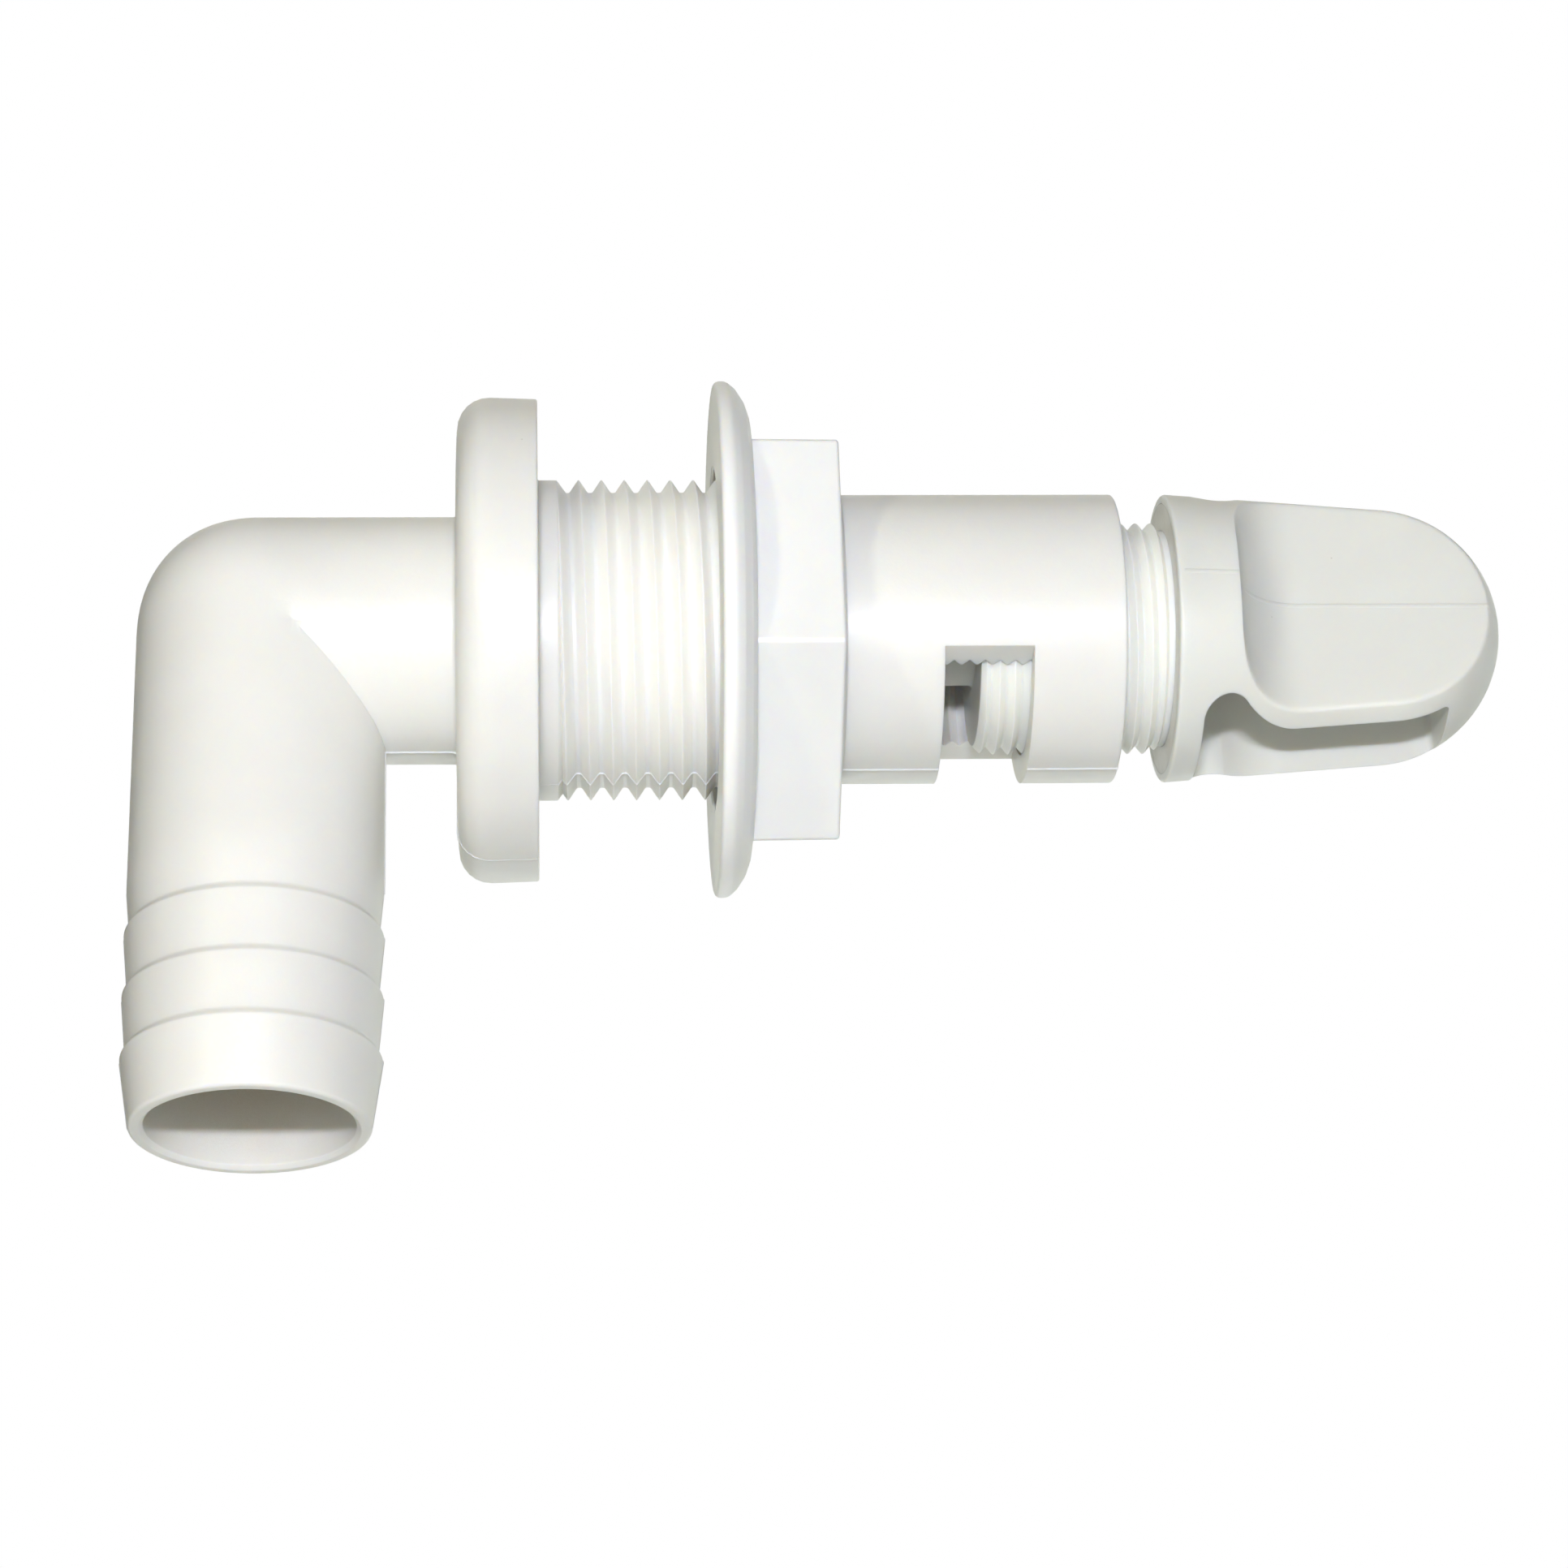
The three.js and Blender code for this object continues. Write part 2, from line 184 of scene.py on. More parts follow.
# Valve knob
BARREL_START = 34.5
BARREL_CHAMFER = 1.0
BARREL_END_ROUND = 0.15
BARREL_END_DROP = 0.1
PLUG_START = KNOB_LOW.x
PLUG_RADIUS = 3.7
PLUG_ROUND = 0.6
PLUG_FILLET = 0.3
PLUG_FOOT = 1.0
NECK_START = 48.7
NECK_RUN_OUT = 0.5
COLLAR_FACE_X = 49.7
COLLAR_RADIUS = 11.5
COLLAR_ROUND = 0.25
COLLAR_RIM_LENGTH = 2.0
NOSE_RADIUS = 10.25
NOSE_CENTRE_X = KNOB_HIGH.x - NOSE_RADIUS
NOSE_START_ANGLE = math.radians(85.5)
BLADE_HALF_THICKNESS = 5.5
BLADE_EDGE_BLEND = 0.3
SCOOP_START = 54.6
SCOOP_RADIUS = 5.5
SCOOP_EDGE_SLOPE = 8
# How far before the scoop's start the grip's rings lie
SCOOP_RING_STEPS = [1.2, 0.6, 0.3, 0.15, 0.05, 0.01]
POCKET_START = 51.8
POCKET_END = 71.7
POCKET_SLOPE_END = 59.4
POCKET_WALL = 1.5
POCKET_WEB = 2.0
POCKET_HEEL_RADIUS = 1.9
POCKET_HEEL_Y = 5.4
POCKET_HEEL_TURN = 0.75 * math.pi
POCKET_BEND_LENGTH = 2.2
POCKET_END_ROUND = 0.6
POCKET_DRAFT = 0.25
GROOVE_RADIUS = 10.8
GROOVE_DEPTH = 1.2

# Seal rings: the play inside and outside each, and their edge radius
NUT_RING_PLAY_INSIDE = 0.2
NUT_RING_PLAY_OUTSIDE = 0.1
NUT_RING_ROUND = 0.2
KNOB_RING_PLAY_INSIDE = 0.02
KNOB_RING_PLAY_OUTSIDE = 0.01
KNOB_RING_ROUND = 0.06

# White plastics: two tones, how deep light runs in, and a paler zone along X as (start, end, colour), painted
# light that lifts that stretch out of its shade
BODY_PLASTIC = {
    "tones": ((0.825, 0.825, 0.782), (0.797, 0.797, 0.758)),
    "glow": 1.1,
    "pale": (3.2, 20.0, (0.862, 0.862, 0.825)),
}
NUT_PLASTIC = {
    "tones": ((0.868, 0.877, 0.852), (0.838, 0.847, 0.822)),
    "glow": 0.35,
    "pale": (0.0, 16.6, (0.905, 0.915, 0.885)),
}
KNOB_PLASTIC = {
    "tones": ((0.758, 0.768, 0.720), (0.731, 0.740, 0.692)),
    "glow": 1.1,
    "pale": (20.0, 49.7, (0.845, 0.855, 0.81)),
}
ZONE_BLEND = 0.2

# Between these, noise has nearly all its values
NOISE_LOW = 0.3
NOISE_HIGH = 0.7

DIRT_TONE = (0.36, 0.33, 0.26)
# Painted shade deep in the leg's hollow: its brown tone, how far the occlusion test reaches, and the height
# it stops at
HOLLOW_SHADE_TONE = (0.46, 0.39, 0.22)
HOLLOW_SHADE_REACH = 20.0
HOLLOW_SHADE_TOP_Z = -25.0

# Camera: it looks up at the fitting from in front and below
CAMERA_DISTANCE = 368.1
CAMERA_X = -0.56
CAMERA_ELEVATION = math.radians(-27.62)
CAMERA_ROLL = math.radians(-1.786)
TARGET_X = 19.5
TARGET_RISE = -11.47
LENS = 106.3
CLIP_START = 0.01
CLIP_END = 10.0

# Floor, in metres. Its glow is seen by the camera only, and lights nothing.
FLOOR_Z = -0.26
FLOOR_GLOW = 0.55
FLOOR_RADIUS = 3.0

# Lights, in metres and watts
FLASH_RISE = 0.122
FLASH_SET_BACK = 0.189
FLASH_SIZE = (0.06, 0.02)
FLASH_WATTS = 2.484
FLASH_COLOUR = (0.882, 0.888, 1.0)
LAMP_WAY = Vector((-0.55, -0.82, 0.12))
LAMP_DISTANCE = 0.7
LAMP_SIZE = (0.06, 0.06)
LAMP_WATTS = 0.744
LAMP_COLOUR = (1.0, 0.952, 0.657)
SOFT_BOX_DISTANCE = 0.9
FILL_STRENGTH = 0.01


# ---------------------------------------------------------------- mesh tools


def solid(name, rings):
    """A closed solid lofted through rings of the same number of points, with flat ends."""
    count = len(rings[0])
    points = [point for ring in rings for point in ring]
    faces = []
    for row in range(len(rings) - 1):
        low = row * count
        high = low + count
        for i in range(count):
            j = (i + 1) % count
            faces.append((low + i, low + j, high + j, high + i))
    faces.append(tuple(range(count - 1, -1, -1)))
    last = (len(rings) - 1) * count
    faces.append(tuple(range(last, last + count)))
    return solid_from(name, points, faces)


def solid_from(name, points, faces):
    mesh = bpy.data.meshes.new(name)
    mesh.from_pydata(points, [], faces)
    shape = bmesh.new()
    shape.from_mesh(mesh)
    bmesh.ops.recalc_face_normals(shape, faces=shape.faces)
    shape.to_mesh(mesh)
    shape.free()
    obj = bpy.data.objects.new(name, mesh)
    bpy.context.scene.collection.objects.link(obj)
    return obj


def combined(base, other, operation):
    """Joins, cuts or intersects base with other, and removes other."""
    modifier = base.modifiers.new("combine", "BOOLEAN")
    modifier.operation = operation
    modifier.solver = "MANIFOLD"
    modifier.object = other
    with bpy.context.temp_override(object=base, active_object=base):
        bpy.ops.object.modifier_apply(modifier=modifier.name)
    bpy.data.meshes.remove(other.data)
    return base


def joined(base, *others):
    for other in others:
        base = combined(base, other, "UNION")
    return base


def cut(base, *others):
    for other in others:
        base = combined(base, other, "DIFFERENCE")
    return base


def common(base, other):
    return combined(base, other, "INTERSECT")


def moved(obj, matrix):
    obj.data.transform(matrix)
    return obj


def rounded(corners):
    """The outline through (x, y, edge radius) corners, with an arc in place of each corner of some radius."""
    outline = []
    for i, (x, y, radius) in enumerate(corners):
        here = Vector((x, y))
        if radius == 0:
            outline.append(here)
            continue
        before = (Vector(corners[i - 1][:2]) - here).normalized()
        after = (Vector(corners[(i + 1) % len(corners)][:2]) - here).normalized()
        half = before.angle(after) / 2
        centre = here + (before + after).normalized() * radius / math.sin(half)
        start = here + before * radius / math.tan(half) - centre
        turn = math.pi - 2 * half
        if before.x * after.y - before.y * after.x > 0:
            turn = -turn
        for step in range(ROUND_STEPS + 1):
            outline.append(centre + Matrix.Rotation(turn * step / ROUND_STEPS, 2) @ start)
    return outline


def circle_ring(x, radius, count=AROUND):
    """A ring of points about the X axis."""
    angles = [2 * math.pi * i / count for i in range(count)]
    return [(x, radius * math.cos(a), radius * math.sin(a)) for a in angles]


def dense(outline):
    """The outline with long straight stretches split, so that shading stays even along them."""
    points = [Vector(outline[0])]
    for point in outline[1:]:
        start = points[-1]
        end = Vector(point)
        parts = max(1, round(abs(end.x - start.x) / LONGEST_STRETCH))
        points += [start.lerp(end, part / parts) for part in range(1, parts + 1)]
    return points


def turned(name, outline):
    """A solid turned about X from (x, radius) points that don't reach the axis."""
    return solid(name, [circle_ring(x, radius) for x, radius in dense(outline)])


def cylinder(from_x, to_x, radius):
    return turned("cylinder", [(from_x, radius), (to_x, radius)])


def block(low, high):
    corners = [(low[1], low[2]), (high[1], low[2]), (high[1], high[2]), (low[1], high[2])]
    return solid("block", [[(x, y, z) for y, z in corners] for x in (low[0], high[0])])


def prism_along_z(name, outline, sections):
    """A prism of an XY outline. Each section is (z, how far the outline is shrunk there)."""
    middle = sum(outline, Vector((0, 0))) / len(outline)
    rings = []
    for z, shrink in sections:
        scaled = [middle + (p - middle) * (1 - shrink / (p - middle).length) for p in outline]
        rings.append([(p.x, p.y, z) for p in scaled])
    return solid(name, rings)


def thread_depth(thread, share):
    """How far below the crest the thread is, at a share of a pitch from the crest."""
    wave = math.asin(CREST_SHARPNESS * math.cos(2 * math.pi * share)) / math.asin(CREST_SHARPNESS)
    return min(thread["full_depth"] * (1 - wave) / 2, thread["depth"])


def threaded_rod(thread, from_x, to_x, grow=0.0, shares=THREAD_SHARES):
    """A rod about X with a right-hand thread, of helical lines. It runs past both ends asked for."""
    pitch = thread["pitch"]
    first_turn = math.floor((from_x - thread["crest_x"]) / pitch) - 1
    turns = math.ceil((to_x - from_x) / pitch) + 2
    steps = turns * AROUND
    start_x = thread["crest_x"] + first_turn * pitch
    points = []
    lines = []
    for line, share in enumerate(shares):
        radius = thread["major"] + grow - thread_depth(thread, share)
        count = steps + AROUND if line == 0 else steps
        first = len(points)
        for step in range(count + 1):
            angle = 2 * math.pi * step / AROUND
            x = start_x + pitch * (share + step / AROUND)
            points.append((x, radius * math.cos(angle), radius * math.sin(angle)))
        lines.append(range(first, len(points)))
    lines.append(lines[0][AROUND:])
    faces = []
    for low, high in zip(lines, lines[1:]):
        faces += [(low[i], low[i + 1], high[i + 1], high[i]) for i in range(steps)]
    start_tip = len(points)
    end_tip = start_tip + 1
    points.append((start_x + pitch / 2, 0, 0))
    points.append((start_x + pitch * (turns + 0.5), 0, 0))
    crest = lines[0]
    for step in range(AROUND):
        faces.append((start_tip, crest[step + 1], crest[step]))
        faces.append((end_tip, crest[steps + step], crest[steps + step + 1]))
    for low, high in zip(lines, lines[1:]):
        faces.append((start_tip, low[0], high[0]))
        faces.append((end_tip, high[steps], low[steps]))
    return solid_from("threaded_rod", points, faces)


def finished(obj, name, node, body, material):
    """Scales the mesh to metres, shades it, and puts it in the frame in place of its CAD node."""
    shape = bmesh.new()
    shape.from_mesh(obj.data)
    bmesh.ops.remove_doubles(shape, verts=shape.verts, dist=WELD_DISTANCE)
    bmesh.ops.dissolve_degenerate(shape, edges=shape.edges, dist=WELD_DISTANCE)
    shape.to_mesh(obj.data)
    shape.free()
    obj.data.transform(Matrix.Scale(MM, 4))
    obj.data.shade_smooth()
    obj.data.set_sharp_from_angle(angle=SHARP_ANGLE)
    modifier = obj.modifiers.new("flat_faces", "WEIGHTED_NORMAL")
    modifier.keep_sharp = True
    with bpy.context.temp_override(object=obj, active_object=obj):
        bpy.ops.object.modifier_apply(modifier=modifier.name)
    obj.name = name
    obj.data.name = name
    obj.data.materials.clear()
    obj.data.materials.append(material)
    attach(obj, body)
    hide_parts(node)
    return obj


# ---------------------------------------------------------------- the fitting's body


def swung_down(obj):
    """Turns a solid about X so that it points down the leg."""
    down = Matrix.Translation((LEG_X, 0, 0)) @ Matrix.Rotation(math.pi / 2, 4, "Y")
    return moved(obj, down)


def grown(outline, grow):
    """The outline with its radii larger by grow, apart from its last point's."""
    return [(x, radius + grow) for x, radius in outline[:-1]] + [tuple(outline[-1])]


def hose_leg(grow):
    """The barbed leg, with every face but its end moved out by grow."""
    corners = [(0, TUBE_RADIUS, 0), (TAPER_START, TUBE_RADIUS + LEG_TAPER, 0)]
    for tip in BARB_TIPS:
        corners.append((tip - BARB_RISE, BARB_ROOT_RADIUS, BARB_ROOT_ROUND))
        corners.append((tip, BARB_TIP_RADIUS - RIDGE_HEIGHT, BARB_TIP_ROUND))
    corners.append((LEG_LENGTH, MOUTH_RADIUS, LIP_ROUND))
    corners.append((LEG_LENGTH, BORE_RADIUS / 2, 0))
    return swung_down(turned("leg", grown(rounded(corners), grow)))


def elbow_corner(radius, power):
    """A ball over the mitre, with its outer upper quarter squared off by the power."""
    rings = []
    for row in range(1, AROUND // 2):
        polar = 2 * math.pi * row / AROUND
        ring = []
        for step in range(AROUND):
            angle = 2 * math.pi * step / AROUND
            out, up = math.sin(angle), math.cos(angle)
            reach = radius * math.sin(polar)
            if out > 0 and up > 0:
                reach /= (out**power + up**power) ** (1 / power)
            ring.append((LEG_X - reach * out, radius * math.cos(polar), reach * up))
        rings.append(ring)
    return solid("corner", rings)


def body_outside(grow=0.0):
    """The body without its bores, with its outer faces moved out by grow."""
    core = rounded(
        [
            (LEG_X, TUBE_RADIUS, 0),
            (-FLANGE_THICKNESS - grow, TUBE_RADIUS, FLANGE_FILLET),
            (-FLANGE_THICKNESS - grow, FLANGE_RADIUS, FLANGE_ROUND),
            (0, FLANGE_FACE_RADIUS, EDGE_ROUND),
            (0, HULL_THREAD["major"], SHOULDER_FILLET),
            (SHOULDER_LENGTH, HULL_THREAD["major"], SHOULDER_ROUND),
            (SHOULDER_LENGTH + SHOULDER_DROP_LENGTH, HEAD_RADIUS, EDGE_ROUND),
            (HEAD_END, HEAD_RADIUS, EDGE_ROUND),
            (HEAD_END, HEAD_RADIUS / 2, 0),
        ]
    )
    outside = turned("fitting_body_fine", grown(core, grow))
    thread = threaded_rod(HULL_THREAD, 0, HULL_THREAD_END, grow)
    stretch = turned(
        "stretch",
        [
            (SHOULDER_LENGTH / 2, HULL_THREAD["major"] + OVERRUN),
            (HULL_THREAD_END - HULL_THREAD["depth"], HULL_THREAD["major"] + grow),
            (HULL_THREAD_END, HULL_THREAD["major"] - HULL_THREAD["depth"] + grow),
        ],
    )
    return joined(
        outside,
        elbow_corner(TUBE_RADIUS + grow, OUTER_CORNER_POWER),
        hose_leg(grow),
        common(thread, stretch),
    )


def body_bores():
    """Everything that is cut from the body."""
    run = cylinder(LEG_X, SEAT_X + VALVE_THREAD["pitch"], BORE_RADIUS)
    leg_bore = swung_down(cylinder(0, LEG_LENGTH + OVERRUN, BORE_RADIUS))
    mouth_flare = swung_down(
        turned(
            "flare",
            [
                (LEG_LENGTH - LIP_ROUND, BORE_RADIUS),
                (LEG_LENGTH + OVERRUN, BORE_RADIUS + LIP_ROUND + OVERRUN),
            ],
        )
    )
    valve_thread = threaded_rod(VALVE_THREAD, SEAT_X, HEAD_END, THREAD_CLEARANCE, BORE_THREAD_SHARES)
    valve_bore = common(valve_thread, cylinder(SEAT_X, HEAD_END + OVERRUN, HEAD_RADIUS))
    mouth_radius = VALVE_THREAD["major"] + THREAD_CLEARANCE
    mouth_cone = turned(
        "mouth",
        [
            (HEAD_END - MOUTH_CHAMFER - mouth_radius / 2, mouth_radius / 2),
            (HEAD_END + OVERRUN, mouth_radius + MOUTH_CHAMFER + OVERRUN),
        ],
    )
    window = block(
        (WINDOW_START, -HEAD_RADIUS - OVERRUN, -HEAD_RADIUS - OVERRUN),
        (WINDOW_END, HEAD_RADIUS + OVERRUN, WINDOW_TOP_Z),
    )
    corner = elbow_corner(BORE_RADIUS, BORE_CORNER_POWER)
    return [run, corner, leg_bore, mouth_flare, valve_bore, mouth_cone, window]


def fitting_body(material):
    """The elbow, flange, thread and spray head in one piece, with the ridge where its mould parts."""
    slab = block((-FAR, -RIDGE_WIDTH / 2, -FAR), (FAR, RIDGE_WIDTH / 2, FAR))
    ridge = common(body_outside(RIDGE_HEIGHT), slab)
    elbow_inside = block(
        (LEG_X + TUBE_RADIUS / 2, -RIDGE_WIDTH / 2, -TAPER_START),
        (-FLANGE_THICKNESS, RIDGE_WIDTH / 2, -TUBE_RADIUS / 2),
    )
    elbow_ridge = common(body_outside(HIGH_RIDGE_HEIGHT), elbow_inside)
    underside = block(
        (SHOULDER_LENGTH, -RIDGE_WIDTH / 2, -HULL_THREAD["major"] - OVERRUN),
        (HEAD_END, RIDGE_WIDTH / 2, -HEAD_RADIUS / 2),
    )
    under_ridge = common(body_outside(HIGH_RIDGE_HEIGHT), underside)
    body = cut(joined(body_outside(), ridge, elbow_ridge, under_ridge), *body_bores())
    return finished(body, "fitting_body_fine", "fitting_body", "fitting", material)


# ---------------------------------------------------------------- the flanged nut


def hexagon_ring(x, across_flats):
    """A ring of points on a hexagon with rounded corners, with the same number of points each time."""
    corner_radius = across_flats / 2 / math.cos(math.pi / 6)
    corners = []
    for i in range(6):
        angle = math.radians(HEX_CORNER_ANGLE + 60 * i)
        corners.append((corner_radius * math.cos(angle), corner_radius * math.sin(angle), HEX_CORNER_ROUND))
    return [(x, y, z) for y, z in rounded(corners)]


def flanged_nut(material):
    """A hexagon on a thin domed flange, cut with the hull thread."""
    face = NUT_FACE_X
    rim = NUT_FLANGE_RADIUS
    half = HEX_ACROSS_FLATS / 2
    foot = HEX_START + HEX_FOOT_LENGTH
    corners = [(face, rim / 2, 0), (face, rim, NUT_RIM_ROUND)]
    corners += [(face + behind, rim - drop, edge) for behind, drop, edge in NUT_DOME]
    corners += [(HEX_START, half, HEX_FOOT_ROUND), (foot, half - HEX_FOOT_DROP, 0), (foot, rim / 2, 0)]
    flange = turned("flanged_nut_fine", rounded(corners))
    hexagon = [hexagon_ring(x, HEX_ACROSS_FLATS) for x in (HEX_START - OVERRUN, HEX_START)]
    for step in range(ROUND_STEPS + 1):
        angle = math.pi / 2 * step / ROUND_STEPS
        x = NUT_END_X - HEX_END_ROUND + HEX_END_ROUND * math.sin(angle)
        shrink = 2 * HEX_END_ROUND * (1 - math.cos(angle))
        hexagon.append(hexagon_ring(x, HEX_ACROSS_FLATS - HEX_DRAFT - shrink))
    thread = threaded_rod(HULL_THREAD, face - OVERRUN, NUT_END_X + OVERRUN, THREAD_CLEARANCE)
    recess = turned(
        "recess",
        [
            (face - OVERRUN, NUT_RECESS_RADIUS + OVERRUN + NUT_RECESS_CHAMFER),
            (face + NUT_RECESS_CHAMFER, NUT_RECESS_RADIUS),
            (face + NUT_RECESS_DEPTH, NUT_RECESS_RADIUS),
        ],
    )
    exit_cone = turned(
        "exit",
        [
            (NUT_END_X - NUT_EXIT_REACH, NUT_EXIT_RADIUS - NUT_EXIT_REACH),
            (NUT_END_X + NUT_EXIT_REACH, NUT_EXIT_RADIUS + NUT_EXIT_REACH),
        ],
    )
    nut = cut(joined(flange, solid("hexagon", hexagon)), thread, recess, exit_cone)
    return finished(nut, "flanged_nut_fine", "flanged_nut", "nut", material)


# ---------------------------------------------------------------- the valve knob


def smooth_min(a, b, blend):
    """The lower of two values, with their crossing rounded over the blend."""
    near = max(blend - abs(a - b), 0) / blend
    return min(a, b) - near * near * blend / 4


def envelope_radius(x):
    """The knob's turned outline: a slight cone from the collar that runs into a ball nose."""
    cone_end_x = NOSE_CENTRE_X + NOSE_RADIUS * math.cos(NOSE_START_ANGLE)
    cone_end = NOSE_RADIUS * math.sin(NOSE_START_ANGLE)
    if x < cone_end_x:
        share = (x - COLLAR_FACE_X) / (cone_end_x - COLLAR_FACE_X)
        return COLLAR_RADIUS + (cone_end - COLLAR_RADIUS) * share
    return math.sqrt(max(NOSE_RADIUS**2 - (x - NOSE_CENTRE_X) ** 2, 0))


def blade_half(x):
    """Half the blade's thickness: its wide start, the scoop's concave round, then the flat blade."""
    round_x = SCOOP_START + SCOOP_RADIUS
    if x < SCOOP_START:
        return BLADE_HALF_THICKNESS + SCOOP_RADIUS + SCOOP_EDGE_SLOPE * (SCOOP_START - x)
    if x < round_x:
        drop = math.sqrt(max(SCOOP_RADIUS**2 - (x - round_x) ** 2, 0))
        return BLADE_HALF_THICKNESS + SCOOP_RADIUS - drop
    return BLADE_HALF_THICKNESS


def grip_ring(x, grow):
    """A ring of the grip, where the turned outline is cut by the blade's two faces."""
    ring = []
    for i in range(GRIP_AROUND):
        angle = 2 * math.pi * i / GRIP_AROUND
        across = max(abs(math.cos(angle)), TINY)
        radius = smooth_min(envelope_radius(x), blade_half(x) / across, BLADE_EDGE_BLEND)
        ring.append((x, (radius + grow) * math.cos(angle), (radius + grow) * math.sin(angle)))
    return ring


def grip_places():
    """Where the grip's rings lie: close together at the scoop's start and round the nose."""
    places = [COLLAR_FACE_X + COLLAR_RIM_LENGTH]
    places += [SCOOP_START - before for before in SCOOP_RING_STEPS]
    for step in range(ARC_STEPS + 1):
        angle = math.pi / 2 * (1 - step / ARC_STEPS)
        places.append(SCOOP_START + SCOOP_RADIUS * (1 - math.sin(angle)))
    cone_end_x = NOSE_CENTRE_X + NOSE_RADIUS * math.cos(NOSE_START_ANGLE)
    first = places[-1]
    places += [first + (cone_end_x - first) * step / BLADE_STEPS for step in range(1, BLADE_STEPS)]
    for step in range(2 * ARC_STEPS):
        angle = NOSE_START_ANGLE * (1 - step / (2 * ARC_STEPS))
        places.append(NOSE_CENTRE_X + NOSE_RADIUS * math.cos(angle))
    return places


def knob_grip(grow=0.0):
    """The collar and the blade, with their outer faces moved out by grow."""
    rim_end_x = COLLAR_FACE_X + COLLAR_RIM_LENGTH
    collar = rounded(
        [
            (COLLAR_FACE_X, GROOVE_RADIUS - INSET, 0),
            (COLLAR_FACE_X, COLLAR_RADIUS, COLLAR_ROUND),
            (rim_end_x, envelope_radius(rim_end_x), 0),
        ]
    )
    rings = [circle_ring(x, radius + grow, GRIP_AROUND) for x, radius in collar[:-1]]
    rings += [grip_ring(x, grow) for x in grip_places()]
    return solid("valve_knob_fine", rings)


def blade_pocket(side):
    """The hollow in the blade, open on one narrow side. It widens at its heel, inside the collar."""
    half = BLADE_HALF_THICKNESS - POCKET_WALL
    heel_x = POCKET_START + POCKET_HEEL_RADIUS
    upper = []
    for step in range(ARC_STEPS + 1):
        angle = math.pi - POCKET_HEEL_TURN * step / ARC_STEPS
        x = heel_x + POCKET_HEEL_RADIUS * math.cos(angle)
        upper.append(Vector((x, POCKET_HEEL_Y + POCKET_HEEL_RADIUS * math.sin(angle))))
    start = upper[-1]
    bend = Vector((POCKET_SLOPE_END - POCKET_BEND_LENGTH, half))
    end = Vector((POCKET_SLOPE_END, half))
    for step in range(1, ARC_STEPS + 1):
        t = step / ARC_STEPS
        upper.append(start * (1 - t) ** 2 + bend * 2 * t * (1 - t) + end * t**2)
    for step in range(ROUND_STEPS + 1):
        angle = math.pi / 2 * (1 - step / ROUND_STEPS)
        x = POCKET_END - POCKET_END_ROUND + POCKET_END_ROUND * math.cos(angle)
        upper.append(Vector((x, half - POCKET_END_ROUND + POCKET_END_ROUND * math.sin(angle))))
    lower = [Vector((p.x, -p.y)) for p in reversed(upper)]
    sections = [(POCKET_WEB / 2, POCKET_DRAFT), (COLLAR_RADIUS + OVERRUN, 0.0)]
    pocket = prism_along_z("pocket", upper + lower, sections)
    if side < 0:
        moved(pocket, Matrix.Rotation(math.pi, 4, "X"))
    return pocket


def knob_barrel():
    """The solid threaded barrel, with a plug on its end."""
    start = BARREL_START
    root = VALVE_THREAD["major"] - VALVE_THREAD["depth"]
    end_radius = root - BARREL_END_DROP
    plug = turned(
        "plug",
        rounded(
            [
                (PLUG_START, PLUG_RADIUS / 2, 0),
                (PLUG_START, PLUG_RADIUS, PLUG_ROUND),
                (start, PLUG_RADIUS, PLUG_FILLET),
                (start, PLUG_RADIUS + PLUG_FOOT, 0),
                (start + PLUG_FOOT, PLUG_RADIUS + PLUG_FOOT, 0),
                (start + PLUG_FOOT, PLUG_RADIUS / 2, 0),
            ]
        ),
    )
    thread = threaded_rod(VALVE_THREAD, start, NECK_START)
    stretch = turned(
        "stretch",
        [
            (start, end_radius),
            (start + BARREL_CHAMFER, end_radius + BARREL_CHAMFER),
            (NECK_START, end_radius + BARREL_CHAMFER),
            (NECK_START + NECK_RUN_OUT, root),
        ],
    )
    neck = turned(
        "neck",
        rounded(
            [
                (start, root / 2, 0),
                (start, end_radius, BARREL_END_ROUND),
                (start + BARREL_CHAMFER, root, 0),
                (COLLAR_FACE_X + GROOVE_DEPTH, root, 0),
                (COLLAR_FACE_X + GROOVE_DEPTH, root / 2, 0),
            ]
        ),
    )
    return joined(neck, common(thread, stretch), plug)


def valve_knob(material):
    """The barrel, collar and blade in one piece, with a ridge along the blade's two faces."""
    slab = block((COLLAR_FACE_X + KNOB_RIDGE_SET_BACK, -FAR, -RIDGE_WIDTH), (FAR, FAR, RIDGE_WIDTH))
    ridge = common(knob_grip(KNOB_RIDGE_HEIGHT), slab)
    groove = turned(
        "groove",
        [(COLLAR_FACE_X - OVERRUN, GROOVE_RADIUS), (COLLAR_FACE_X + GROOVE_DEPTH, GROOVE_RADIUS)],
    )
    grip = cut(joined(knob_grip(), ridge), groove)
    knob = cut(joined(grip, knob_barrel()), blade_pocket(1), blade_pocket(-1))
    return finished(knob, "valve_knob_fine", "valve_knob", "knob", material)


# ---------------------------------------------------------------- the seal rings


def seal_ring(low, high, inner, outer, edge, name, node, body, material):
    """A ring with rounded edges, from its CAD node's low end to its high end."""
    hole = turned("hole", [(low.x - OVERRUN, inner), (high.x + OVERRUN, inner)])
    start = inner - INSET
    blank = turned(
        name,
        rounded([(low.x, start, 0), (low.x, outer, edge), (high.x, outer, edge), (high.x, start, 0)]),
    )
    ring = cut(blank, hole)
    return finished(ring, name, node, body, material)


# ---------------------------------------------------------------- materials


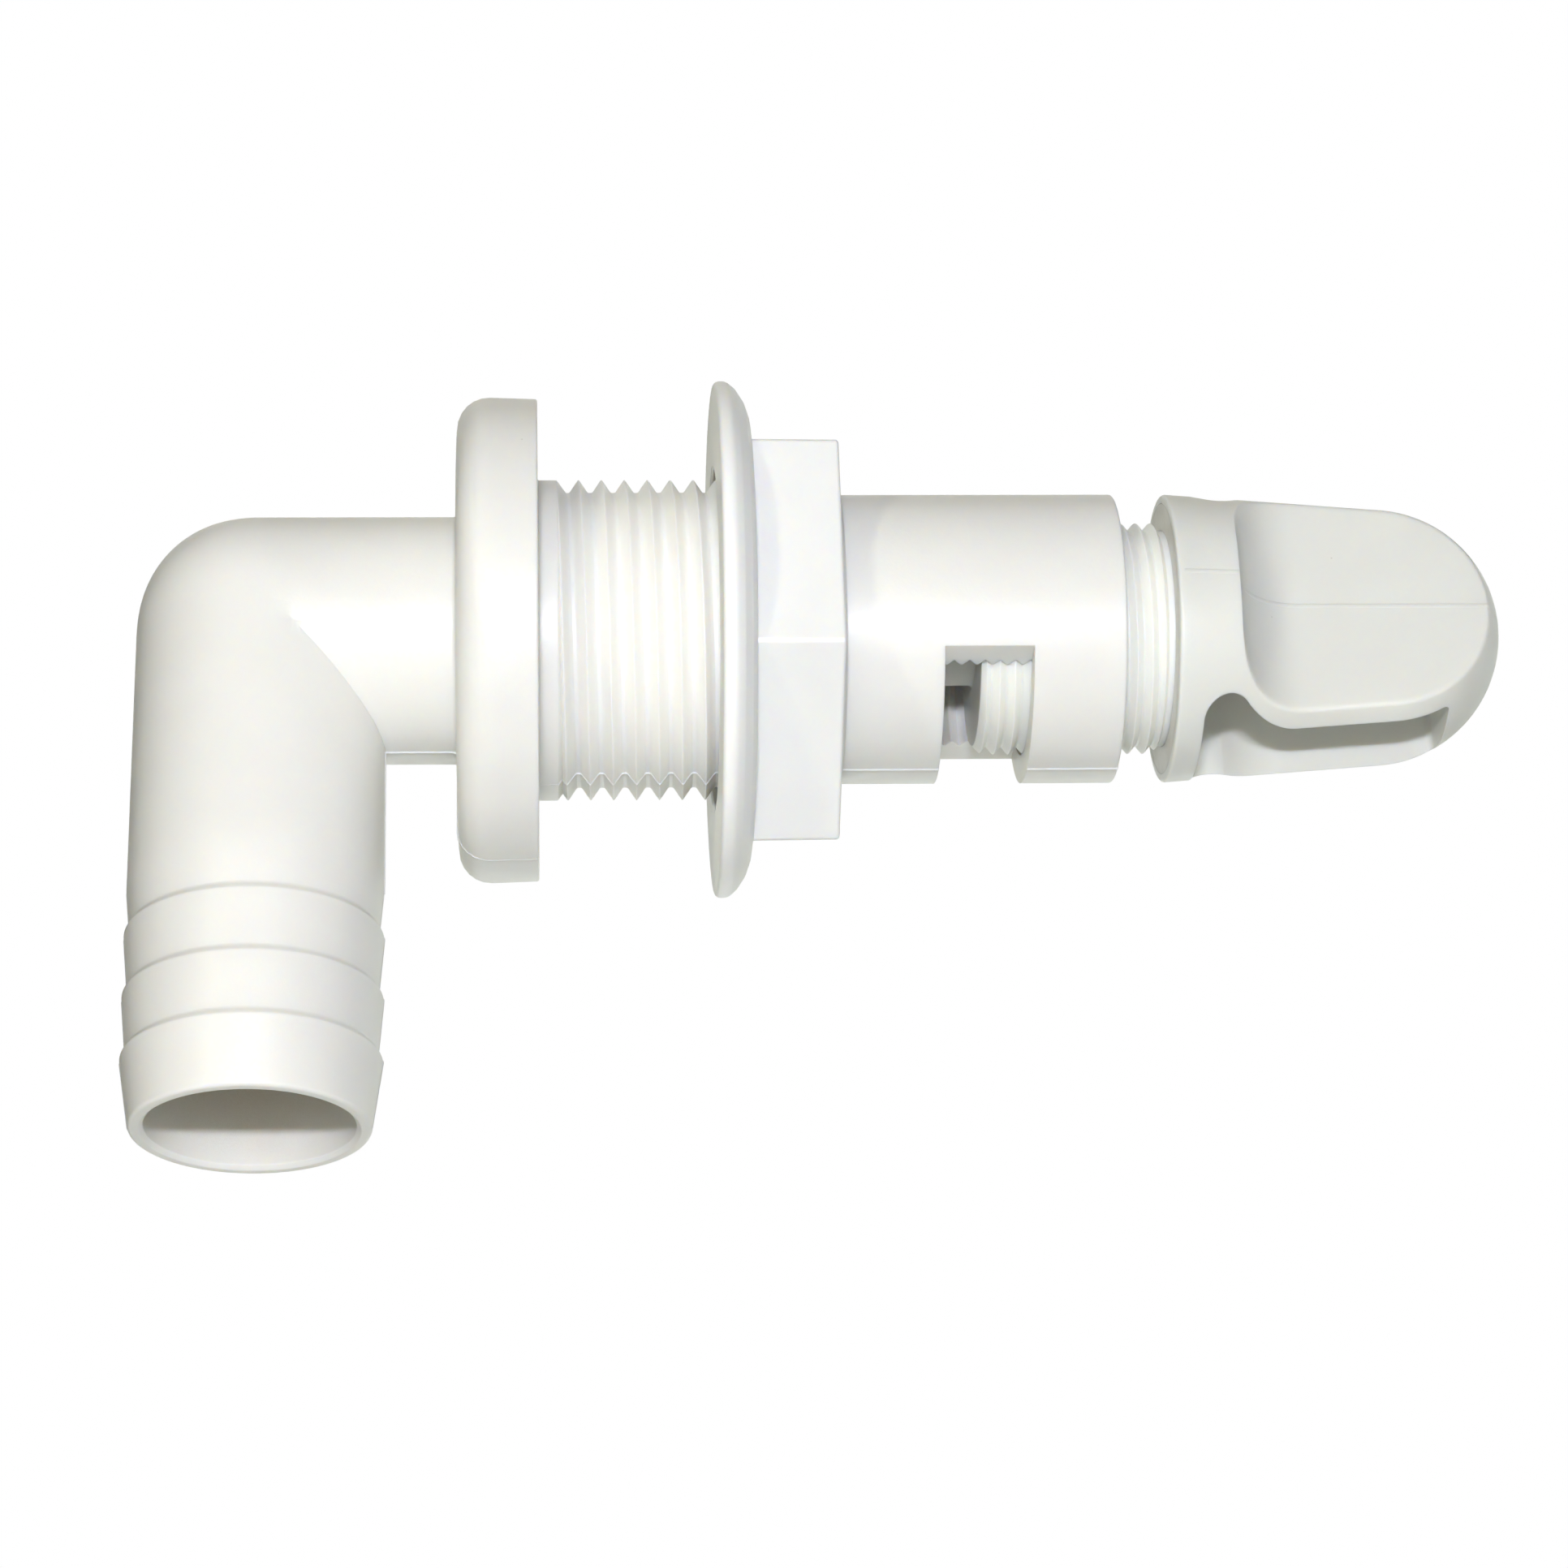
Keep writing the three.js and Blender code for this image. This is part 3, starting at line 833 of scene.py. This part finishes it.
class Nodes:
    """A material's node tree, with short ways to add and link nodes. Lengths are in millimetres."""

    def __init__(self, name):
        self.material = bpy.data.materials.new(name)
        self.material.use_nodes = True
        self.tree = self.material.node_tree
        self.shader = self.tree.nodes["Principled BSDF"]
        coordinates = self.add("ShaderNodeTexCoord")
        self.place = self.add("ShaderNodeMapping")
        self.place.inputs["Scale"].default_value = (1 / MM, 1 / MM, 1 / MM)
        self.link(coordinates.outputs["Object"], self.place.inputs["Vector"])

    def add(self, kind, **settings):
        node = self.tree.nodes.new(kind)
        for key, value in settings.items():
            setattr(node, key, value)
        return node

    def link(self, source, target):
        self.tree.links.new(source, target)

    def noise(self, size, detail, roughness=0.5, stretch=(1, 1, 1)):
        """Noise whose features are about size millimetres."""
        mapping = self.add("ShaderNodeMapping")
        mapping.inputs["Scale"].default_value = stretch
        self.link(self.place.outputs["Vector"], mapping.inputs["Vector"])
        node = self.add("ShaderNodeTexNoise")
        node.inputs["Scale"].default_value = 1 / size
        node.inputs["Detail"].default_value = detail
        node.inputs["Roughness"].default_value = roughness
        self.link(mapping.outputs["Vector"], node.inputs["Vector"])
        return node.outputs["Fac"]

    def specks(self, spacing, size):
        """1 in small round specks about spacing millimetres apart, and 0 elsewhere."""
        node = self.add("ShaderNodeTexVoronoi")
        node.inputs["Scale"].default_value = 1 / spacing
        self.link(self.place.outputs["Vector"], node.inputs["Vector"])
        return self.remapped(node.outputs["Distance"], size / spacing, 0.0, 0.0, 1.0)

    def varied(self, size, detail, low, high, roughness=0.5, stretch=(1, 1, 1)):
        """A value between low and high, by noise whose features are about size millimetres."""
        return self.remapped(self.noise(size, detail, roughness, stretch), NOISE_LOW, NOISE_HIGH, low, high)

    def remapped(self, value, low, high, to_low, to_high):
        node = self.add("ShaderNodeMapRange")
        for name, number in (("From Min", low), ("From Max", high), ("To Min", to_low), ("To Max", to_high)):
            node.inputs[name].default_value = number
        self.link(value, node.inputs["Value"])
        return node.outputs["Result"]

    def mixed(self, share, first, second):
        """A colour between two, where each is a colour or another node's output."""
        node = self.add("ShaderNodeMix", data_type="RGBA")
        self.link(share, node.inputs["Factor"])
        for key, colour in ((6, first), (7, second)):
            if isinstance(colour, tuple):
                node.inputs[key].default_value = (*colour, 1)
            else:
                self.link(colour, node.inputs[key])
        return node.outputs[2]

    def math(self, operation, first, second):
        node = self.add("ShaderNodeMath", operation=operation)
        for key, value in ((0, first), (1, second)):
            if isinstance(value, (int, float)):
                node.inputs[key].default_value = value
            else:
                self.link(value, node.inputs[key])
        return node.outputs[0]

    def bump(self, height, depth, before):
        """A bump of depth millimetres over another normal."""
        node = self.add("ShaderNodeBump")
        node.inputs["Strength"].default_value = 1.0
        node.inputs["Distance"].default_value = depth * MM
        self.link(height, node.inputs["Height"])
        self.link(before, node.inputs["Normal"])
        return node.outputs["Normal"]

    def between(self, axis, start, end):
        """1 where a coordinate in millimetres lies between two places, and 0 beyond them."""
        place = self.add("ShaderNodeSeparateXYZ")
        self.link(self.place.outputs["Vector"], place.inputs["Vector"])
        coordinate = place.outputs[axis]
        after = self.remapped(coordinate, start - ZONE_BLEND, start + ZONE_BLEND, 0.0, 1.0)
        before = self.remapped(coordinate, end - ZONE_BLEND, end + ZONE_BLEND, 1.0, 0.0)
        return self.math("MULTIPLY", after, before)

    def hollows(self, reach, deep, open_share):
        """1 deep inside a piece's own hollows, and 0 on its open faces."""
        node = self.add("ShaderNodeAmbientOcclusion", samples=8, only_local=True)
        node.inputs["Distance"].default_value = reach * MM
        return self.remapped(node.outputs["AO"], deep, open_share, 1.0, 0.0)

    def soft_edges(self, radius):
        """Normals that round every sharp edge over a radius in millimetres."""
        node = self.add("ShaderNodeBevel", samples=6)
        node.inputs["Radius"].default_value = radius * MM
        return node.outputs["Normal"]


def white_plastic(name, plastic, shaded_hollow=False):
    """Semi-gloss moulded plastic: clouds, flow marks, specks, a paler zone of painted light and a fine grain.

    It can also have painted shade: a brown tone deep in the hollow at its lower end.
    """
    nodes = Nodes(name)
    shader = nodes.shader
    base, shade = plastic["tones"]
    cloud = nodes.remapped(nodes.noise(size=9.0, detail=2.0), 0.35, 0.65, 0.0, 1.0)
    tone = nodes.mixed(cloud, base, shade)
    flow = nodes.varied(size=2.2, detail=3.0, low=0.0, high=0.175, roughness=0.6, stretch=(0.25, 1, 1))
    tone = nodes.mixed(flow, tone, shade)
    specks = nodes.specks(spacing=2.6, size=0.10)
    speckled_places = nodes.remapped(nodes.noise(size=2.0, detail=1.0), 0.60, 0.64, 0.0, 0.55)
    tone = nodes.mixed(nodes.math("MULTIPLY", specks, speckled_places), tone, DIRT_TONE)
    # Painted light: a paler zone along X that lifts that stretch out of its shade
    painted_light_start, painted_light_end, painted_light_tone = plastic["pale"]
    tone = nodes.mixed(nodes.between("X", painted_light_start, painted_light_end), tone, painted_light_tone)
    # Painted shade: brown where the piece's own hollow is occluded, low down in the leg
    if shaded_hollow:
        low_down = nodes.between("Z", -FAR, HOLLOW_SHADE_TOP_Z)
        inside = nodes.hollows(reach=HOLLOW_SHADE_REACH, deep=0.15, open_share=0.42)
        tone = nodes.mixed(nodes.math("MULTIPLY", inside, low_down), tone, HOLLOW_SHADE_TONE)
    nodes.link(tone, shader.inputs["Base Color"])
    rough = nodes.varied(size=1.4, detail=4.0, low=0.34, high=0.46, roughness=0.6)
    nodes.link(rough, shader.inputs["Roughness"])
    normal = nodes.soft_edges(radius=0.12)
    normal = nodes.bump(nodes.noise(size=3.0, detail=2.0), depth=0.02, before=normal)
    normal = nodes.bump(nodes.noise(size=0.22, detail=3.0, roughness=0.6), depth=0.006, before=normal)
    nodes.link(normal, shader.inputs["Normal"])
    shader.inputs["IOR"].default_value = 1.5
    shader.inputs["Subsurface Weight"].default_value = 0.8
    shader.inputs["Subsurface Radius"].default_value = (1.0, 0.8, 0.55)
    shader.inputs["Subsurface Scale"].default_value = plastic["glow"] * MM
    return nodes.material


def black_rubber(name):
    """Soft matte rubber with a fine tooth."""
    nodes = Nodes(name)
    shader = nodes.shader
    tone = nodes.mixed(nodes.noise(size=1.2, detail=4.0), (0.018, 0.018, 0.019), (0.05, 0.05, 0.048))
    nodes.link(tone, shader.inputs["Base Color"])
    nodes.link(nodes.varied(size=0.6, detail=3.0, low=0.6, high=0.8), shader.inputs["Roughness"])
    tooth = nodes.bump(nodes.noise(size=0.12, detail=3.0), depth=0.015, before=nodes.soft_edges(radius=0.1))
    nodes.link(tooth, shader.inputs["Normal"])
    return nodes.material


def milky_silicone(name):
    """Satin silicone that light runs into."""
    nodes = Nodes(name)
    shader = nodes.shader
    tone = nodes.mixed(nodes.noise(size=2.0, detail=3.0), (0.70, 0.69, 0.65), (0.76, 0.75, 0.71))
    nodes.link(tone, shader.inputs["Base Color"])
    nodes.link(nodes.varied(size=0.8, detail=3.0, low=0.38, high=0.55), shader.inputs["Roughness"])
    ripple = nodes.bump(nodes.noise(size=0.3, detail=3.0), depth=0.008, before=nodes.soft_edges(radius=0.1))
    nodes.link(ripple, shader.inputs["Normal"])
    shader.inputs["Subsurface Weight"].default_value = 0.6
    shader.inputs["Subsurface Radius"].default_value = (1.0, 0.9, 0.8)
    shader.inputs["Subsurface Scale"].default_value = MM
    return nodes.material


# ---------------------------------------------------------------- stage, lights and camera


def pale_floor():
    """A round sheet of pale paper far below the fitting."""
    points = circle_ring(0, FLOOR_RADIUS)
    mesh = bpy.data.meshes.new("floor")
    mesh.from_pydata([(y, z, FLOOR_Z) for _, y, z in points], [], [tuple(range(AROUND))])
    floor = bpy.data.objects.new("floor", mesh)
    bpy.context.scene.collection.objects.link(floor)
    nodes = Nodes("floor_paper")
    tone = nodes.mixed(nodes.noise(size=40.0, detail=2.0), (0.86, 0.86, 0.85), (0.90, 0.90, 0.89))
    nodes.link(tone, nodes.shader.inputs["Base Color"])
    nodes.shader.inputs["Roughness"].default_value = 0.9
    rays = nodes.add("ShaderNodeLightPath")
    nodes.shader.inputs["Emission Color"].default_value = (1, 1, 0.99, 1)
    glow = nodes.math("MULTIPLY", rays.outputs["Is Camera Ray"], FLOOR_GLOW)
    nodes.link(glow, nodes.shader.inputs["Emission Strength"])
    mesh.materials.append(nodes.material)


def camera_axes():
    """The camera's place, and its right, up and forward directions, in metres."""
    toward = Vector((0, -math.cos(CAMERA_ELEVATION), math.sin(CAMERA_ELEVATION)))
    rise = Vector((0, math.sin(CAMERA_ELEVATION), math.cos(CAMERA_ELEVATION)))
    place = toward * CAMERA_DISTANCE
    place.x = CAMERA_X
    target = rise * TARGET_RISE
    target.x = TARGET_X
    forward = (target - place).normalized()
    level = forward.cross(Vector((0, 0, 1))).normalized()
    upright = level.cross(forward)
    right = level * math.cos(CAMERA_ROLL) + upright * math.sin(CAMERA_ROLL)
    up = upright * math.cos(CAMERA_ROLL) - level * math.sin(CAMERA_ROLL)
    return place * MM, right, up, forward


def photo_camera():
    place, right, up, forward = camera_axes()
    data = bpy.data.cameras.new("camera")
    data.lens = LENS
    data.clip_start = CLIP_START
    data.clip_end = CLIP_END
    camera = bpy.data.objects.new("camera", data)
    bpy.context.scene.collection.objects.link(camera)
    turn = Matrix((right, up, -forward)).transposed().to_4x4()
    camera.matrix_world = Matrix.Translation(place) @ turn
    bpy.context.scene.camera = camera


def soft_light(name, place, aim, size, watts, colour):
    """An area light of a width and height at a place, aimed at a point, all in metres."""
    data = bpy.data.lights.new(name, "AREA")
    data.shape = "RECTANGLE"
    data.size, data.size_y = size
    data.energy = watts
    data.color = colour
    light = bpy.data.objects.new(name, data)
    bpy.context.scene.collection.objects.link(light)
    light.location = place
    light.rotation_mode = "QUATERNION"
    light.rotation_quaternion = (Vector(aim) - Vector(place)).to_track_quat("-Z", "Y")


def studio_lights():
    """A small flash over the lens, a warm lamp at the left, and wide soft boxes round the object."""
    place, right, up, forward = camera_axes()
    middle = (CAD_BOX[0] + CAD_BOX[1]) / 2
    flash_place = place + up * FLASH_RISE - forward * FLASH_SET_BACK
    lamp_place = middle + LAMP_WAY * LAMP_DISTANCE
    soft_light("flash", flash_place, middle, FLASH_SIZE, FLASH_WATTS, FLASH_COLOUR)
    soft_light("lamp", lamp_place, middle, LAMP_SIZE, LAMP_WATTS, LAMP_COLOUR)
    # Each soft box: its name, the way to it, its width and height, its power and its colour
    for name, way, size, watts, colour in (
        ("front_box", -forward, 0.9, 2.4, (1.0, 0.95, 0.55)),
        ("top_box", up, 0.9, 0.912, (0.852, 0.898, 1.0)),
        ("back_box", forward, 0.9, 3.03, (0.98, 1.0, 0.924)),
        ("back_top_box", (forward + up).normalized(), 0.7, 0.772, (1.0, 0.896, 0.645)),
        ("back_low_box", (forward - up).normalized(), 0.7, 2.81, (0.962, 1.0, 0.995)),
        ("back_right_box", (forward + right).normalized(), 0.7, 1.901, (0.952, 1.0, 0.923)),
    ):
        soft_light(name, middle + way * SOFT_BOX_DISTANCE, middle, (size, size), watts, colour)


def white_world():
    """White behind the object, and a much dimmer white as the fill light."""
    world = bpy.data.worlds.new("white_world")
    world.use_nodes = True
    tree = world.node_tree
    tree.nodes.clear()
    output = tree.nodes.new("ShaderNodeOutputWorld")
    mix = tree.nodes.new("ShaderNodeMixShader")
    rays = tree.nodes.new("ShaderNodeLightPath")
    fill = tree.nodes.new("ShaderNodeBackground")
    fill.inputs["Color"].default_value = (1, 1, 1, 1)
    fill.inputs["Strength"].default_value = FILL_STRENGTH
    backdrop = tree.nodes.new("ShaderNodeBackground")
    backdrop.inputs["Strength"].default_value = 1.0
    backdrop.inputs["Color"].default_value = (1, 1, 1, 1)
    tree.links.new(rays.outputs["Is Camera Ray"], mix.inputs["Fac"])
    tree.links.new(fill.outputs["Background"], mix.inputs[1])
    tree.links.new(backdrop.outputs["Background"], mix.inputs[2])
    tree.links.new(mix.outputs["Shader"], output.inputs["Surface"])
    bpy.context.scene.world = world


def build():
    """Makes the five visible pieces, and then the floor, the camera and the lights."""
    fitting_body(white_plastic("white_plastic_body", BODY_PLASTIC, shaded_hollow=True))
    flanged_nut(white_plastic("white_plastic_nut", NUT_PLASTIC))
    valve_knob(white_plastic("white_plastic_knob", KNOB_PLASTIC))
    seal_ring(
        NUT_RING_LOW,
        NUT_RING_HIGH,
        HULL_THREAD["major"] + NUT_RING_PLAY_INSIDE,
        NUT_RECESS_RADIUS - NUT_RING_PLAY_OUTSIDE,
        NUT_RING_ROUND,
        "nut_seal_ring_fine",
        "nut_seal_ring",
        "nut_seal",
        black_rubber("black_rubber"),
    )
    seal_ring(
        KNOB_RING_LOW,
        KNOB_RING_HIGH,
        VALVE_THREAD["major"] - VALVE_THREAD["depth"] + KNOB_RING_PLAY_INSIDE,
        GROOVE_RADIUS - KNOB_RING_PLAY_OUTSIDE,
        KNOB_RING_ROUND,
        "knob_seal_ring_fine",
        "knob_seal_ring",
        "knob_seal",
        milky_silicone("silicone"),
    )
    pale_floor()
    photo_camera()
    studio_lights()
    white_world()
    bpy.context.scene.view_settings.view_transform = "Standard"


build()
